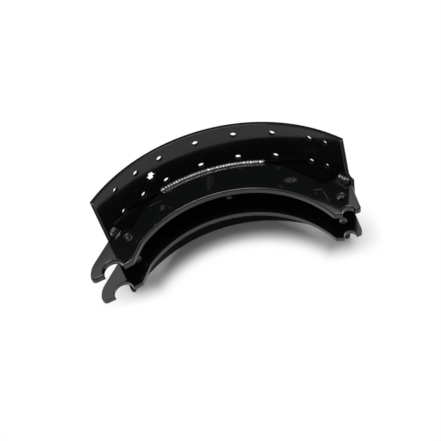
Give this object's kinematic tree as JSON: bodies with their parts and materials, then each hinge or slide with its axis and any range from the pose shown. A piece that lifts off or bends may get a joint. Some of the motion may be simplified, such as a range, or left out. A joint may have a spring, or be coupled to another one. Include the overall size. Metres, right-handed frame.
{
  "type": "brake shoe",
  "caption": "Unlined shoe for an S-cam drum brake: curved drilled table on two stamped webs, with an anchor hook at one end and a cam roller seat at the other.",
  "frame": {"origin": "axis of the anchor pin's seat, half-way between the two webs", "axes": "+Z along the drum's axis, towards the flange with the cross-shaped hole; +X along the shoe, from the anchor hook towards the cam end and parallel to the table's crown; +Y away from the drum's axis, out through the crown"},
  "size_m": [0.3324, 0.149, 0.18],
  "materials": {
    "black_paint": "gloss"
  },
  "bodies": {
    "root": {"shoe_table": "black_paint", "web_upper": "black_paint", "web_lower": "black_paint", "centre_weld_upper": "black_paint", "centre_weld_lower": "black_paint", "anchor_weld_upper": "black_paint", "anchor_weld_lower": "black_paint", "cam_weld_upper": "black_paint", "cam_weld_lower": "black_paint"}
  },
  "joints": []
}
